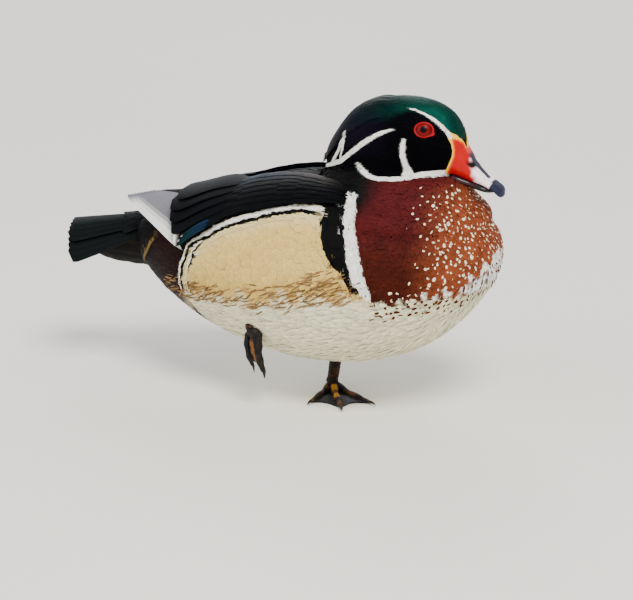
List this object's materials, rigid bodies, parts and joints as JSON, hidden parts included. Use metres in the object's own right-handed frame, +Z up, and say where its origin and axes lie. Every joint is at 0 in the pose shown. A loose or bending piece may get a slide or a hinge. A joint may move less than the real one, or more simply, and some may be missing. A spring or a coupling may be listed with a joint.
{
  "type": "wood duck figure",
  "caption": "Life-size still figure of a crested drake wood duck standing on one webbed foot with the other drawn up, wings folded and tail fanned.",
  "frame": {"origin": "on the floor, at the flat sole of the standing foot, under its shank", "axes": "+X towards the bill, +Y to the bird's left, +Z up; metres"},
  "size_m": [0.3127, 0.125, 0.2101],
  "materials": {
    "body_plumage": "buff and cream feathers, soft sheen",
    "breast_plumage": "maroon feathers with cream flecks",
    "head_plumage": "glossy dark green and black feathers with white lines",
    "wing_plumage": "black feathers with a steel blue sheen",
    "tail_plumage": "black feathers with a green sheen",
    "bill": "smooth red, white and black horn",
    "eye": "polished red iris with a black pupil",
    "leg_skin": "dusky ochre scaled skin with black webs"
  },
  "bodies": {
    "root": {"torso": "body_plumage", "neck": "breast_plumage", "head": "head_plumage", "tail": "tail_plumage", "wing_left": "wing_plumage", "wing_right": "wing_plumage", "bill_upper": "bill", "bill_lower": "bill", "eye_left": "eye", "eye_right": "eye", "leg_left": "leg_skin", "leg_right": "leg_skin", "foot_left": "leg_skin", "foot_right": "leg_skin"}
  },
  "joints": []
}
